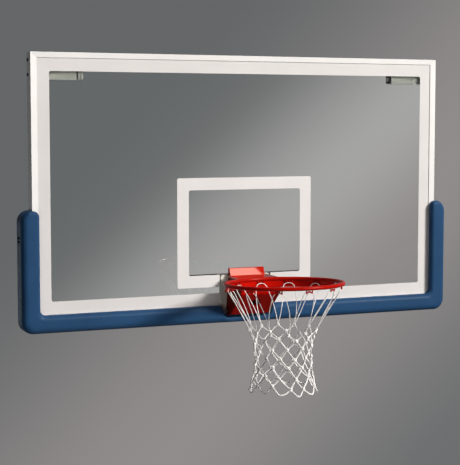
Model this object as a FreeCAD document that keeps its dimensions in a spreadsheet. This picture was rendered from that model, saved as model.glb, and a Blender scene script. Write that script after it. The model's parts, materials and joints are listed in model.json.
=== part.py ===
import FreeCAD, Part
import math
import os
import re

V = FreeCAD.Vector
ROT = FreeCAD.Rotation

doc = FreeCAD.newDocument("basketball_backboard")
sheet = doc.addObject("Spreadsheet::Sheet", "dims")


# ---------------------------------------------------------------- dimensions
# A quantity carries its number and the formula that binds it to the sheet.
class Q:
    def __init__(self, value, formula):
        self.v = float(value)
        self.e = formula

    def __add__(self, other):
        other = q(other)
        return Q(self.v + other.v, "(%s + %s)" % (self.e, other.e))

    def __radd__(self, other):
        return q(other) + self

    def __sub__(self, other):
        other = q(other)
        return Q(self.v - other.v, "(%s - %s)" % (self.e, other.e))

    def __rsub__(self, other):
        return q(other) - self

    def __mul__(self, other):
        other = q(other)
        return Q(self.v * other.v, "(%s * %s)" % (self.e, other.e))

    def __rmul__(self, other):
        return q(other) * self

    def __truediv__(self, other):
        other = q(other)
        return Q(self.v / other.v, "(%s / %s)" % (self.e, other.e))

    def __neg__(self):
        return Q(-self.v, "(0 - %s)" % self.e)


def q(x):
    return x if isinstance(x, Q) else Q(x, repr(float(x)))


row = [0]


def dim(alias, value):
    row[0] += 1
    sheet.set("A%d" % row[0], alias)
    sheet.set("B%d" % row[0], repr(float(value)))
    sheet.setAlias("B%d" % row[0], alias)
    return Q(value, "dims." + alias)


# Where the goal level and the front of the glass lie from the centre of the
# four rear mounting holes.
goal_level = dim("goal_level", -358.55)
glass_face = dim("glass_face", -60.0)

board_wide = dim("board_wide", 1828.8)
board_tall = dim("board_tall", 1063.2)
board_base = dim("board_base", -152.4)
glass_thick = dim("glass_thick", 12.7)
glass_inset = dim("glass_inset", 9.5)
notch_half = dim("notch_half", 116.0)
notch_top = dim("notch_top", 1.0)
notch_round = dim("notch_round", 10.0)

lip_wide = dim("lip_wide", 25.4)
lip_top = dim("lip_top", 21.8)
lip_front = dim("lip_front", -5.6)
lip_thick = dim("lip_thick", 3.6)
wall_thick = dim("wall_thick", 3.5)
ledge_wide = dim("ledge_wide", 20.0)
ledge_front = dim("ledge_front", 14.7)
frame_back = dim("frame_back", 54.4)
mitre_gap = dim("mitre_gap", 0.15)

print_thick = dim("print_thick", 0.2)
border_wide = dim("border_wide", 50.8)
border_round = dim("border_round", 8.0)
target_wide = dim("target_wide", 609.6)
target_tall = dim("target_tall", 457.2)
line_wide = dim("line_wide", 50.8)
target_round = dim("target_round", 8.0)

bolt_across = dim("bolt_across", 1600.0)
bolt_up = dim("bolt_up", 927.1)
bolt_bore = dim("bolt_bore", 14.0)
bracket_tall = dim("bracket_tall", 37.0)
bracket_front = dim("bracket_front", 20.0)
bracket_back = dim("bracket_back", 60.0)
bracket_wall = dim("bracket_wall", 4.0)
bracket_inner = dim("bracket_inner", 723.0)
bracket_outer = dim("bracket_outer", 888.0)
tongue_tall = dim("tongue_tall", 34.0)
tongue_front = dim("tongue_front", 22.0)
tongue_back = dim("tongue_back", 48.0)
screw_shank = dim("screw_shank", 5.0)
screw_head = dim("screw_head", 9.0)
screw_high = dim("screw_high", 2.2)

plate_half = dim("plate_half", 111.5)
plate_thick = dim("plate_thick", 10.0)
plate_base = dim("plate_base", -165.0)
plate_top = dim("plate_top", -1.0)
goal_bolt_half = dim("goal_bolt_half", 63.5)
goal_bolt_top = dim("goal_bolt_top", -25.0)
goal_bolt_low = dim("goal_bolt_low", -114.0)
goal_bolt_dia = dim("goal_bolt_dia", 12.0)
goal_bolt_hole = dim("goal_bolt_hole", 13.0)
brace_half = dim("brace_half", 290.0)
brace_front = dim("brace_front", 20.0)
brace_back = dim("brace_back", 50.0)
brace_low = dim("brace_low", -50.0)
brace_wall = dim("brace_wall", 4.0)
post_wide = dim("post_wide", 44.0)

back_half = dim("back_half", 79.5)
back_front = dim("back_front", -12.0)
back_rear = dim("back_rear", -3.0)
back_top = dim("back_top", 27.0)
back_low = dim("back_low", -158.0)
hood_half = dim("hood_half", 78.0)
hood_reach = dim("hood_reach", -27.0)
hood_high = dim("hood_high", 26.0)
hood_low = dim("hood_low", -5.0)

pin_y = dim("pin_y", -27.0)
pin_z = dim("pin_z", -148.0)
pin_dia = dim("pin_dia", 12.0)
pin_half = dim("pin_half", 98.0)
pin_fit = dim("pin_fit", 0.05)
lug_in = dim("lug_in", 64.0)
lug_out = dim("lug_out", 76.0)
lug_round = dim("lug_round", 13.0)
side_in = dim("side_in", 84.0)
side_out = dim("side_out", 90.0)
side_round = dim("side_round", 22.0)
bush_dia = dim("bush_dia", 18.0)

rod_z = dim("rod_z", -82.0)
rod_dia = dim("rod_dia", 12.0)
rod_front = dim("rod_front", -103.0)
spring_front = dim("spring_front", -84.0)
spring_rear = dim("spring_rear", -20.5)
spring_dia = dim("spring_dia", 40.0)
spring_wire = dim("spring_wire", 5.5)
spring_turns = dim("spring_turns", 6.0)
flange_front = dim("flange_front", -20.0)
flange_rear = dim("flange_rear", -15.0)

ring_radius = dim("ring_radius", 233.0)
ring_rod_dia = dim("ring_rod_dia", 16.0)
ring_y = dim("ring_y", -388.0)
ring_z = dim("ring_z", 0.5)
ring_tilt = dim("ring_tilt", 2.0)
deck_top = dim("deck_top", -3.0)
deck_thick = dim("deck_thick", 5.0)
deck_rear = dim("deck_rear", -29.0)
band_tall = dim("band_tall", 34.0)
band_thick = dim("band_thick", 5.0)
clip_count = dim("clip_count", 12)
clip_wire = dim("clip_wire", 5.0)
clip_radius = dim("clip_radius", 227.0)
net_low = dim("net_low", -440.0)
net_wall = dim("net_wall", 4.0)

pad_front = dim("pad_front", -32.0)
pad_half = dim("pad_half", 963.0)
pad_low = dim("pad_low", -202.0)
pad_high = dim("pad_high", 288.0)
pad_notch_half = dim("pad_notch_half", 112.0)
pad_notch_low = dim("pad_notch_low", -174.0)
pad_room = dim("pad_room", 3.1)

doc.recompute()

half = board_wide / 2
top = board_base + board_tall


def Y(c):
    """Depth measured back from the front of the glass."""
    return glass_face + c


def Z(c):
    """Height measured from the goal level."""
    return goal_level + c


nodes = []
counter = [0]


def fresh(stem):
    counter[0] += 1
    return "%s_%d" % (stem, counter[0])


def bind(obj, prop, quantity):
    obj.setExpression(prop, q(quantity).e)


def node(obj, label):
    obj.Label = label
    nodes.append(obj)
    return obj


# ------------------------------------------------------------ Part primitives
def box(x, y, z):
    o = doc.addObject("Part::Box", fresh("block"))
    x, y, z = [(q(a), q(b)) for a, b in (x, y, z)]
    for prop, pair in (("Length", x), ("Width", y), ("Height", z)):
        bind(o, prop, pair[1] - pair[0])
    for axis, pair in (("x", x), ("y", y), ("z", z)):
        bind(o, ".Placement.Base." + axis, pair[0])
    return o


TURN = {"x": ROT(V(0, 1, 0), 90), "y": ROT(V(1, 0, 0), -90), "z": ROT()}


def rod(axis, radius, start, end, a, b, radius_end=None):
    """Round bar or cone along one axis; a and b are its other two coordinates in x, y, z order."""
    radius, start, end, a, b = [q(i) for i in (radius, start, end, a, b)]
    if radius_end is None:
        o = doc.addObject("Part::Cylinder", fresh("round"))
        bind(o, "Radius", radius)
    else:
        o = doc.addObject("Part::Cone", fresh("taper"))
        bind(o, "Radius1", radius)
        bind(o, "Radius2", radius_end)
    bind(o, "Height", end - start)
    o.Placement = FreeCAD.Placement(V(0, 0, 0), TURN[axis])
    where = {"x": (start, a, b), "y": (a, start, b), "z": (a, b, start)}[axis]
    for name, value in zip("xyz", where):
        bind(o, ".Placement.Base." + name, value)
    return o


def hexagon(axis, across, start, end, a, b):
    across, start, end, a, b = [q(i) for i in (across, start, end, a, b)]
    o = doc.addObject("Part::Prism", fresh("hex"))
    o.Polygon = 6
    bind(o, "Circumradius", across / 1.7320508)
    bind(o, "Height", end - start)
    o.Placement = FreeCAD.Placement(V(0, 0, 0), TURN[axis])
    where = {"x": (start, a, b), "y": (a, start, b), "z": (a, b, start)}[axis]
    for name, value in zip("xyz", where):
        bind(o, ".Placement.Base." + name, value)
    return o


def fuse(*shapes):
    o = doc.addObject("Part::MultiFuse", fresh("joined"))
    o.Shapes = list(shapes)
    return o


def cut(base, *tools):
    o = doc.addObject("Part::Cut", fresh("cut"))
    o.Base = base
    o.Tool = tools[0] if len(tools) == 1 else fuse(*tools)
    return o


def common(base, tool):
    o = doc.addObject("Part::Common", fresh("shared"))
    o.Base = base
    o.Tool = tool
    return o


def group(*shapes):
    o = doc.addObject("Part::Compound", fresh("set"))
    o.Links = list(shapes)
    return o


# ------------------------------------------------------------ sketched bodies
def new_body():
    return doc.addObject("PartDesign::Body", fresh("body"))


def plane_of(body, role):
    for f in body.Origin.OriginFeatures:
        if f.Role == role:
            return f
    raise RuntimeError("no origin plane " + role)


def fix_point(sk, geo, pos, x, y):
    for kind, quantity, axis in (("DistanceX", q(x), -2), ("DistanceY", q(y), -1)):
        if abs(quantity.v) < 1e-9:
            sk.addConstraint(Sketch("PointOnObject", geo, pos, axis))
        else:
            i = sk.addConstraint(Sketch(kind, -1, 1, geo, pos, quantity.v))
            sk.setExpression("Constraints[%d]" % i, quantity.e)


import Sketcher
Sketch = Sketcher.Constraint


def sketch(body, role, at, loops, circles=()):
    """Closed straight-sided loops and circles on one of the body's own planes, moved along its normal."""
    sk = body.newObject("Sketcher::SketchObject", fresh("sketch"))
    sk.AttachmentSupport = [(plane_of(body, role), "")]
    sk.MapMode = "FlatFace"
    at = q(at)
    sk.AttachmentOffset = FreeCAD.Placement(V(0, 0, at.v), ROT())
    sk.setExpression(".AttachmentOffset.Base.z", at.e)
    for loop in loops:
        pts = [(q(a), q(b)) for a, b in loop]
        first = sk.GeometryCount
        n = len(pts)
        for i in range(n):
            a, b = pts[i], pts[(i + 1) % n]
            sk.addGeometry(Part.LineSegment(V(a[0].v, a[1].v, 0), V(b[0].v, b[1].v, 0)), False)
        for i in range(n):
            sk.addConstraint(Sketch("Coincident", first + i, 2, first + (i + 1) % n, 1))
        for i in range(n):
            fix_point(sk, first + i, 1, pts[i][0], pts[i][1])
    for a, b, r in circles:
        a, b, r = q(a), q(b), q(r)
        g = sk.addGeometry(Part.Circle(V(a.v, b.v, 0), V(0, 0, 1), r.v), False)
        fix_point(sk, g, 3, a, b)
        i = sk.addConstraint(Sketch("Radius", g, r.v))
        sk.setExpression("Constraints[%d]" % i, r.e)
    return sk


def pad(body, sk, length):
    f = body.newObject("PartDesign::Pad", fresh("pad"))
    f.Profile = sk
    bind(f, "Length", length)
    sk.Visibility = False
    return f


def pocket(body, sk, length):
    doc.recompute()
    before = body.Shape.Volume
    f = body.newObject("PartDesign::Pocket", fresh("pocket"))
    f.Profile = sk
    bind(f, "Length", length)
    doc.recompute()
    if not body.Shape.Volume < before - 1e-3:
        raise RuntimeError("a pocket removed nothing: " + f.Name)
    return f


def face_pad(body, loops, y0, y1, circles=()):
    """Plate parallel to the board, from depth y0 to y1."""
    y0, y1 = q(y0), q(y1)
    return pad(body, sketch(body, "XZ_Plane", -y1, loops, circles), y1 - y0)


def face_pocket(body, loops, y0, y1, circles=()):
    y0, y1 = q(y0), q(y1)
    return pocket(body, sketch(body, "XZ_Plane", -y0, loops, circles), y1 - y0)


def side_pad(body, loops, x0, x1, circles=()):
    """Plate square to the board's width, from x0 to x1."""
    x0, x1 = q(x0), q(x1)
    return pad(body, sketch(body, "YZ_Plane", x0, loops, circles), x1 - x0)


def side_pocket(body, loops, x0, x1, circles=()):
    x0, x1 = q(x0), q(x1)
    return pocket(body, sketch(body, "YZ_Plane", x1, loops, circles), x1 - x0)


def rect(x0, x1, z0, z1):
    return [(x0, z0), (x1, z0), (x1, z1), (x0, z1)]


def round_edges(body, along, where, radius):
    """Fillet the straight edges that run along one axis through the given points of the section."""
    doc.recompute()
    base = body.Tip
    a, b = {"x": (1, 2), "y": (0, 2), "z": (0, 1)}[along]
    axis = {"x": 0, "y": 1, "z": 2}[along]
    names = []
    for i, e in enumerate(base.Shape.Edges):
        if e.Curve.TypeId != "Part::GeomLine":
            continue
        p, r = e.Vertexes[0].Point, e.Vertexes[-1].Point
        d = (r - p)
        if abs(d[axis]) < 0.999 * d.Length:
            continue
        for u, w in where:
            if abs(p[a] - q(u).v) < 0.05 and abs(p[b] - q(w).v) < 0.05:
                names.append("Edge%d" % (i + 1))
    if len(names) < len(where):
        raise RuntimeError("edges to round not found on " + body.Name)
    f = body.newObject("PartDesign::Fillet", fresh("round_edge"))
    f.Base = (base, names)
    bind(f, "Radius", radius)
    doc.recompute()
    return f


# ------------------------------------------------------------------ the board
# Tempered glass with a notch in the middle of its lower edge for the goal.
gx = half - glass_inset
gz0 = Z(board_base + glass_inset)
gz1 = Z(top - glass_inset)
b = new_body()
face_pad(b, [[(-gx, gz0), (-notch_half, gz0), (-notch_half, Z(notch_top)), (notch_half, Z(notch_top)),
              (notch_half, gz0), (gx, gz0), (gx, gz1), (-gx, gz1)]], Y(0), Y(glass_thick))
round_edges(b, "y", [(-notch_half, Z(notch_top)), (notch_half, Z(notch_top))], notch_round)
node(b, "glass_panel")

# White border inside the frame lip, interrupted by the notch.
ox = half - lip_wide
oz0, oz1 = Z(board_base + lip_wide), Z(top - lip_top - 1.4)
ix = half - lip_wide - border_wide + 0.9
iz0, iz1 = oz0 + border_wide, oz1 - border_wide - 0.2
b = new_body()
face_pad(b, [[(-ox, oz0), (-notch_half, oz0), (-notch_half, iz0), (-ix, iz0), (-ix, iz1), (ix, iz1), (ix, iz0),
              (notch_half, iz0), (notch_half, oz0), (ox, oz0), (ox, oz1), (-ox, oz1)]], Y(-print_thick), Y(0))
round_edges(b, "y", [(-ix, iz0), (-ix, iz1), (ix, iz1), (ix, iz0)], border_round)
node(b, "border_print")

# White target rectangle; the top of its lower bar is level with the ring.
tx = target_wide / 2
tz0 = Z(-line_wide)
tz1 = tz0 + target_tall
b = new_body()
face_pad(b, [[(-tx, tz0), (-notch_half, tz0), (-notch_half, Z(0)), (-(tx - line_wide), Z(0)),
              (-(tx - line_wide), tz1 - line_wide), (tx - line_wide, tz1 - line_wide), (tx - line_wide, Z(0)),
              (notch_half, Z(0)), (notch_half, tz0), (tx, tz0), (tx, tz1), (-tx, tz1)]], Y(-print_thick), Y(0))
round_edges(b, "y", [(-(tx - line_wide), Z(0)), (-(tx - line_wide), tz1 - line_wide),
                     (tx - line_wide, tz1 - line_wide), (tx - line_wide, Z(0)),
                     (-tx, tz0), (tx, tz0), (tx, tz1), (-tx, tz1)], target_round)
node(b, "target_print")

# Mitred aluminium rails: front lip, outer wall, glazing ledge and rear lip.
key_screw = [Z(880.0), Z(-138.0)]
bracket_level = [bolt_up / 2, -(bolt_up / 2)]
screw_depth = Y(34.0)
strips = [(lip_wide, lip_top, Y(lip_front), Y(lip_front + lip_thick)),
          (wall_thick, wall_thick, Y(lip_front + lip_thick), Y(frame_back - wall_thick)),
          (ledge_wide, ledge_wide, Y(ledge_front), Y(ledge_front + wall_thick)),
          (lip_wide, lip_top, Y(frame_back - wall_thick), Y(frame_back))]


def strip_loop(side, deep, deep_top):
    far = half - mitre_gap
    if side in ("top", "bottom"):
        z = Z(top) if side == "top" else Z(board_base)
        w = z - deep_top if side == "top" else z + deep
        return [(-far, z), (far, z), (far - deep, w), (-(far - deep), w)]
    x = half if side == "right" else -half
    w = x - deep if side == "right" else x + deep
    low, high = Z(board_base + mitre_gap), Z(top - mitre_gap)
    return [(x, low), (x, high), (w, high - deep_top), (w, low + deep)]


def lip_slope(side):
    """Block whose rear face is the sloping front of a lip: 2.4 mm further back at the glass than at the edge."""
    o = doc.addObject("Part::Box", fresh("slope"))
    if side == "top":
        turn, sizes = ROT(V(1, 0, 0), 6.28), (board_wide + 20, 12.0, 40.0)
        place = (-half - 10, Y(lip_front - 8.099), Z(top - 36.103))
    elif side == "left":
        turn, sizes = ROT(V(0, 0, 1), 5.4), (40.0, 12.0, board_tall + 20)
        place = (-half - 3.849, Y(lip_front - 12.417), Z(board_base - 10))
    else:
        turn, sizes = ROT(V(0, 0, 1), -5.4), (40.0, 12.0, board_tall + 20)
        place = (half - 35.974, Y(lip_front - 8.653), Z(board_base - 10))
    o.Placement = FreeCAD.Placement(V(0, 0, 0), turn)
    for prop, value in zip(("Length", "Width", "Height"), sizes):
        bind(o, prop, value)
    for axis, value in zip("xyz", place):
        bind(o, ".Placement.Base." + axis, value)
    return o


for side in ("top", "bottom", "left", "right"):
    b = new_body()
    for deep, deep_top, y0, y1 in strips:
        face_pad(b, [strip_loop(side, deep, deep_top)], y0, y1)
    if side == "bottom":
        face_pocket(b, [rect(-notch_half, notch_half, Z(board_base - 5), Z(board_base + lip_wide + 5))],
                    Y(lip_front - 2), Y(12.0))
        doc.recompute()
        sk = sketch(b, "XY_Plane", Z(board_base + wall_thick + 1), [],
                    [(-goal_bolt_half, Y(35.0), 4.0), (goal_bolt_half, Y(35.0), 4.0)])
        pocket(b, sk, wall_thick + 2)
    if side in ("left", "right"):
        holes = [(screw_depth, z, screw_shank / 2) for z in key_screw + bracket_level]
        if side == "right":
            side_pocket(b, [], half - wall_thick - 1, half + 1, holes)
        else:
            side_pocket(b, [], -half - 1, -half + wall_thick + 1, holes)
    node(b if side == "bottom" else cut(b, lip_slope(side)), "frame_%s_rail" % side)

# L-shaped corner keys inside the mitres, drilled for the side screws.
wall_in = half - wall_thick
parts = []
for sx in (-1, 1):
    for up in (1, 0):
        far = wall_in * sx
        z_out = Z(top - wall_thick) if up else Z(board_base + wall_thick)
        s = 1 if up else -1
        arm = (far, far - 61 * sx) if sx < 0 else (far - 61 * sx, far)
        leg = (far, far - 19 * sx) if sx < 0 else (far - 19 * sx, far)
        zs = (z_out - 19 * s, z_out) if up else (z_out, z_out - 19 * s)
        zl = (z_out - 53 * s, z_out) if up else (z_out, z_out - 21 * s)
        hole = rod("x", screw_shank / 2, (leg[0] if sx < 0 else leg[1] - 14), (leg[0] + 14 if sx < 0 else leg[1]),
                   screw_depth, key_screw[0] if up else key_screw[1])
        parts.append(cut(fuse(box(arm, (Y(22.0), Y(46.0)), zs), box(leg, (Y(22.0), Y(46.0)), zl)), hole))
node(group(*parts), "corner_keys")

# Pan-head screws through the side rails into the keys and the brackets.
parts = []
for sx in (-1, 1):
    for z in key_screw + bracket_level:
        wide, high = (13.0, 4.0) if z.v > 0 else (screw_head, screw_high)
        if sx < 0:
            head = rod("x", q(wide) / 2, -half - high, -half, screw_depth, z)
            shank = rod("x", screw_shank / 2, -half, -half + wall_thick + 12, screw_depth, z)
        else:
            head = rod("x", q(wide) / 2, half, half + high, screw_depth, z)
            shank = rod("x", screw_shank / 2, half - wall_thick - 12, half, screw_depth, z)
        parts.append(fuse(head, shank))
node(group(*parts), "frame_screws")

# Rubber channel between glass and frame, open at the notch.
def ring_box(n0, n1, y0, y1):
    outer = box((-(half - n0), half - n0), (y0, y1), (Z(board_base + n0), Z(top - n0)))
    inner = box((-(half - n1), half - n1), (y0 - 1, y1 + 1), (Z(board_base + n1), Z(top - n1)))
    return cut(outer, inner)


gasket = fuse(ring_box(wall_thick, glass_inset, Y(lip_front + lip_thick), Y(ledge_front)),
              ring_box(glass_inset, lip_top, Y(lip_front + lip_thick), Y(0)),
              ring_box(glass_inset, ledge_wide, Y(glass_thick), Y(ledge_front)))
gap = box((-notch_half, notch_half), (Y(-10.0), Y(20.0)), (Z(board_base - 5), Z(board_base + 40)))
node(cut(gasket, gap), "glazing_gasket")

# Corner brackets: short box tubes with a tongue screwed to the side rail and a
# mounting hole in the rear wall.
names = {(-1, 1): "upper_left_bracket", (1, 1): "upper_right_bracket",
         (-1, -1): "lower_left_bracket", (1, -1): "lower_right_bracket"}
plugs, bolts = [], []


def span(sx, near, far):
    near, far = q(near), q(far)
    return (near, far) if sx > 0 else (-far, -near)


for (sx, sz), label in names.items():
    zc = bolt_up / 2 if sz > 0 else -(bolt_up / 2)
    zb = (zc - bracket_tall / 2, zc + bracket_tall / 2)
    zi = (zb[0] + bracket_wall, zb[1] - bracket_wall)
    zt = (zc - tongue_tall / 2, zc + tongue_tall / 2)
    end = bracket_inner - 20 if sx > 0 else bracket_inner
    tube = box(span(sx, end, bracket_outer), (Y(bracket_front), Y(bracket_back)), zb)
    tongue = box(span(sx, bracket_outer, wall_in), (Y(tongue_front), Y(tongue_back)), zt)
    bore = box(span(sx, end - 1, bracket_outer - bracket_wall),
               (Y(bracket_front + bracket_wall), Y(bracket_back - bracket_wall)), zi)
    hole = rod("y", bolt_bore / 2, Y(bracket_back - bracket_wall - 1), Y(bracket_back + 1),
               bolt_across / 2 * sx, zc)
    pilot_span = span(sx, wall_in - 12, wall_in + 1)
    pilot = rod("x", screw_shank / 2, pilot_span[0], pilot_span[1], screw_depth, zc)
    node(cut(fuse(tube, tongue), bore, hole, pilot), label)

    yc = Y((bracket_front + bracket_back) / 2)
    cap = box(span(sx, end - 6, end), (Y(bracket_front + 2), Y(bracket_back - 2)),
              (zb[0] + 2, zb[1] - 2))
    stub = box(span(sx, end, end + 12),
               (Y(bracket_front + bracket_wall), Y(bracket_back - bracket_wall)), zi)
    through = span(sx, end - 7, end + 13)
    plugs.append(cut(fuse(cap, stub), rod("x", 5.0, through[0], through[1], yc, zc)))
    k0, k1 = span(sx, end + 12, end + 17)
    nut = rod("x", 11.0, k0, k1, yc, zc)
    if sx > 0:   # plain round head on the plug
        a, c = span(sx, end - 10, end + 17)
        n0, n1 = span(sx, end - 10, end - 6)
        bolts.append(fuse(rod("x", 5.0, a, c, yc, zc), rod("x", 9.0, n0, n1, yc, zc), nut))
    else:        # two clamp plates on the plug
        a, c = span(sx, end - 19, end + 17)
        n0, n1 = span(sx, end - 19, end - 15)
        near = box(span(sx, end - 15, end - 6), (Y(bracket_front), Y(bracket_back - 4)), zt)
        far_plate = box(span(sx, end - 28, end - 19), (Y(bracket_front), Y(bracket_back - 4)), zt)
        bolts.append(fuse(rod("x", 5.0, a, c, yc, zc), near, far_plate, rod("x", 9.0, n0, n1, yc, zc), nut))
node(group(*plugs), "bracket_end_plugs")
node(group(*bolts), "bracket_end_bolts")

# ------------------------------------------------------------- goal support
corners = [(sx, z) for sx in (-1, 1) for z in (goal_bolt_top, goal_bolt_low)]


def bolt_x(sx):
    return goal_bolt_half if sx > 0 else -goal_bolt_half


holes = [(bolt_x(sx), Z(z), goal_bolt_hole / 2) for sx, z in corners]

# Steel plate that fills the notch in the glass.
b = new_body()
face_pad(b, [rect(-plate_half, plate_half, Z(plate_base), Z(plate_top))], Y(0), Y(plate_thick), holes)
round_edges(b, "y", [(-plate_half, Z(plate_top)), (plate_half, Z(plate_top))], notch_round)
node(b, "goal_mount_plate")

# Channel behind the lower bar of the target, open to the rear.
b = new_body()
face_pad(b, [rect(-brace_half, brace_half, Z(brace_low), Z(plate_top))], Y(brace_front), Y(brace_front + brace_wall),
         [h for h in holes if h[1].v > Z(-60.0).v])
face_pad(b, [rect(-brace_half, brace_half, Z(plate_top) - brace_wall, Z(plate_top))],
         Y(brace_front + brace_wall), Y(brace_back))
face_pad(b, [rect(-brace_half, brace_half, Z(brace_low), Z(brace_low) + brace_wall)],
         Y(brace_front + brace_wall), Y(brace_back))
node(b, "goal_support_channel")

# Two short posts that stand on the lower rail and carry the channel.
posts, foot_bolts = [], []
foot = Z(board_base + wall_thick)
for sx in (-1, 1):
    xc = bolt_x(sx)
    x0, x1 = xc - post_wide / 2, xc + post_wide / 2
    outer = box((x0, x1), (Y(brace_front), Y(brace_back)), (foot, Z(brace_low)))
    hollow = box((x0 + brace_wall, x1 - brace_wall), (Y(brace_front + brace_wall), Y(brace_back + 1)),
                 (foot + brace_wall, Z(brace_low + 1)))
    face_hole = rod("y", goal_bolt_hole / 2, Y(brace_front - 1), Y(brace_front + brace_wall + 1), xc, Z(goal_bolt_low))
    foot_hole = rod("z", 4.0, foot - 1, foot + brace_wall + 1, xc, Y(35.0))
    posts.append(cut(outer, hollow, face_hole, foot_hole))
    foot_bolts.append(fuse(rod("z", 7.0, Z(board_base) - 3, Z(board_base), xc, Y(35.0)),
                           rod("z", 4.0, Z(board_base), foot + brace_wall + 9, xc, Y(35.0)),
                           hexagon("z", 13.0, foot + brace_wall, foot + brace_wall + 6.5, xc, Y(35.0))))
node(group(*posts), "goal_support_posts")
node(group(*foot_bolts), "post_bolts")

# Rubber between the steel and the goal.
bushes, washers, nuts, screws = [], [], [], []
for sx, z in corners:
    x, zz = bolt_x(sx), Z(z)
    bushes.append(cut(rod("y", 16.0, Y(plate_thick), Y(brace_front), x, zz),
                      rod("y", goal_bolt_hole / 2, Y(plate_thick - 1), Y(brace_front + 1), x, zz)))
    washers.append(cut(rod("y", 12.0, Y(brace_front + brace_wall), Y(brace_front + brace_wall + 2.5), x, zz),
                       rod("y", goal_bolt_dia / 2, Y(brace_front + brace_wall - 1), Y(brace_front + brace_wall + 4), x, zz)))
    nuts.append(cut(hexagon("y", 18.0, Y(brace_front + brace_wall + 2.5), Y(brace_front + brace_wall + 12.5), x, zz),
                    rod("y", goal_bolt_dia / 2, Y(brace_front + brace_wall + 1), Y(brace_front + brace_wall + 14), x, zz)))
    screws.append(fuse(rod("y", 12.0, Y(back_front), Y(back_front + 6), x, zz, 6.0),
                       rod("y", goal_bolt_dia / 2, Y(back_front + 6), Y(40.0), x, zz)))
node(group(*bushes), "goal_isolator_bushes")
b = new_body()
face_pad(b, [rect(-(back_half - 2.5), back_half - 2.5, Z(back_low + 2), Z(back_top - 3))], Y(back_rear), Y(0), holes)
node(b, "goal_isolator_pad")

# Fixed back plate of the goal with two hinge lugs at its lower edge.
shape = [box((-back_half, back_half), (Y(back_front), Y(back_rear)), (Z(back_low), Z(back_top)))]
for sx in (-1, 1):
    a, c = span(sx, lug_in, lug_out)
    shape.append(box((a, c), (Y(pin_y), Y(back_front + 2)), (Z(pin_z - lug_round + 3), Z(pin_z + lug_round))))
    shape.append(rod("x", lug_round, a, c, Y(pin_y), Z(pin_z)))
tools = [rod("x", pin_dia / 2, -back_half, back_half, Y(pin_y), Z(pin_z)),
         rod("y", rod_dia / 2, Y(back_front - 1), Y(back_rear + 1), 0, Z(rod_z))]
for sx, z in corners:
    tools.append(rod("y", goal_bolt_hole / 2, Y(back_front - 1), Y(back_rear + 1), bolt_x(sx), Z(z)))
    tools.append(rod("y", 12.0, Y(back_front), Y(back_front + 5.5), bolt_x(sx), Z(z), 6.5))
node(cut(fuse(*shape), *tools), "goal_back_plate")
node(group(*screws), "goal_bolts")
node(group(*washers), "goal_washers")
node(group(*nuts), "goal_nuts")

# Steep hood above the hinge deck, open underneath.
b = new_body()
side_pad(b, [[(Y(back_front), Z(hood_low)), (Y(hood_reach), Z(hood_low)), (Y(hood_reach), Z(hood_low + 1.5)),
              (Y(back_front - 1.5), Z(hood_high)), (Y(back_front), Z(hood_high))]], -hood_half, hood_half)
side_pocket(b, [[(Y(back_front + 1), Z(hood_low - 1)), (Y(hood_reach + 4.5), Z(hood_low - 1)),
                 (Y(hood_reach + 4.5), Z(hood_low + 1.5)), (Y(back_front + 1), Z(hood_high - 8.0))]],
            -hood_half + 4, hood_half - 4)
node(b, "goal_hood")

# Hinge pin with its two retaining clips.
node(rod("x", pin_dia / 2, -pin_half, pin_half, Y(pin_y), Z(pin_z)), "hinge_pin")
parts = []
for sx in (-1, 1):
    a, c = span(sx, side_out + 2, side_out + 5)
    parts.append(cut(rod("x", 10.0, a, c, Y(pin_y), Z(pin_z)), rod("x", pin_dia / 2, a - 1, c + 1, Y(pin_y), Z(pin_z))))
node(group(*parts), "pin_clips")

# Fixed rod that carries the return spring.
node(rod("y", rod_dia / 2, Y(rod_front), Y(back_rear), 0, Z(rod_z)), "spring_rod")
node(cut(rod("y", 21.0, Y(spring_front - 4), Y(spring_front), 0, Z(rod_z)),
         rod("y", rod_dia / 2, Y(spring_front - 5), Y(spring_front + 1), 0, Z(rod_z))), "spring_washer")
node(cut(hexagon("y", 19.0, Y(spring_front - 14), Y(spring_front - 4), 0, Z(rod_z)),
         rod("y", rod_dia / 2, Y(spring_front - 15), Y(spring_front - 3), 0, Z(rod_z))), "spring_nut")
parts = [rod("y", 10.0, Y(back_front - 2.6), Y(back_front), x, Z(-60.0)) for x in (-35.0, 35.0)]
node(group(*parts), "stop_bumpers")

# Coil spring round the rod.
coil_len = spring_rear - spring_front - spring_wire
spine = doc.addObject("Part::Helix", "spring_spine")
bind(spine, "Pitch", coil_len / spring_turns)
bind(spine, "Height", coil_len)
bind(spine, "Radius", (spring_dia - spring_wire) / 2)
wire = doc.addObject("Part::Circle", "spring_section")
bind(wire, "Radius", spring_wire / 2)
wire.Placement = FreeCAD.Placement(V((spring_dia.v - spring_wire.v) / 2, 0, 0), ROT(V(1, 0, 0), 90))
bind(wire, ".Placement.Base.x", (spring_dia - spring_wire) / 2)
doc.recompute()
coil = doc.addObject("Part::Sweep", "spring_coil")
coil.Sections = [wire]
coil.Spine = (spine, ["Edge%d" % (i + 1) for i in range(len(spine.Shape.Edges))])
coil.Solid = True
coil.Frenet = True
coil.Placement = FreeCAD.Placement(V(0, 0, 0), TURN["y"])
bind(coil, ".Placement.Base.y", Y(spring_front + spring_wire / 2 + 0.05))
bind(coil, ".Placement.Base.z", Z(rod_z))
node(coil, "compression_spring")

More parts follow.
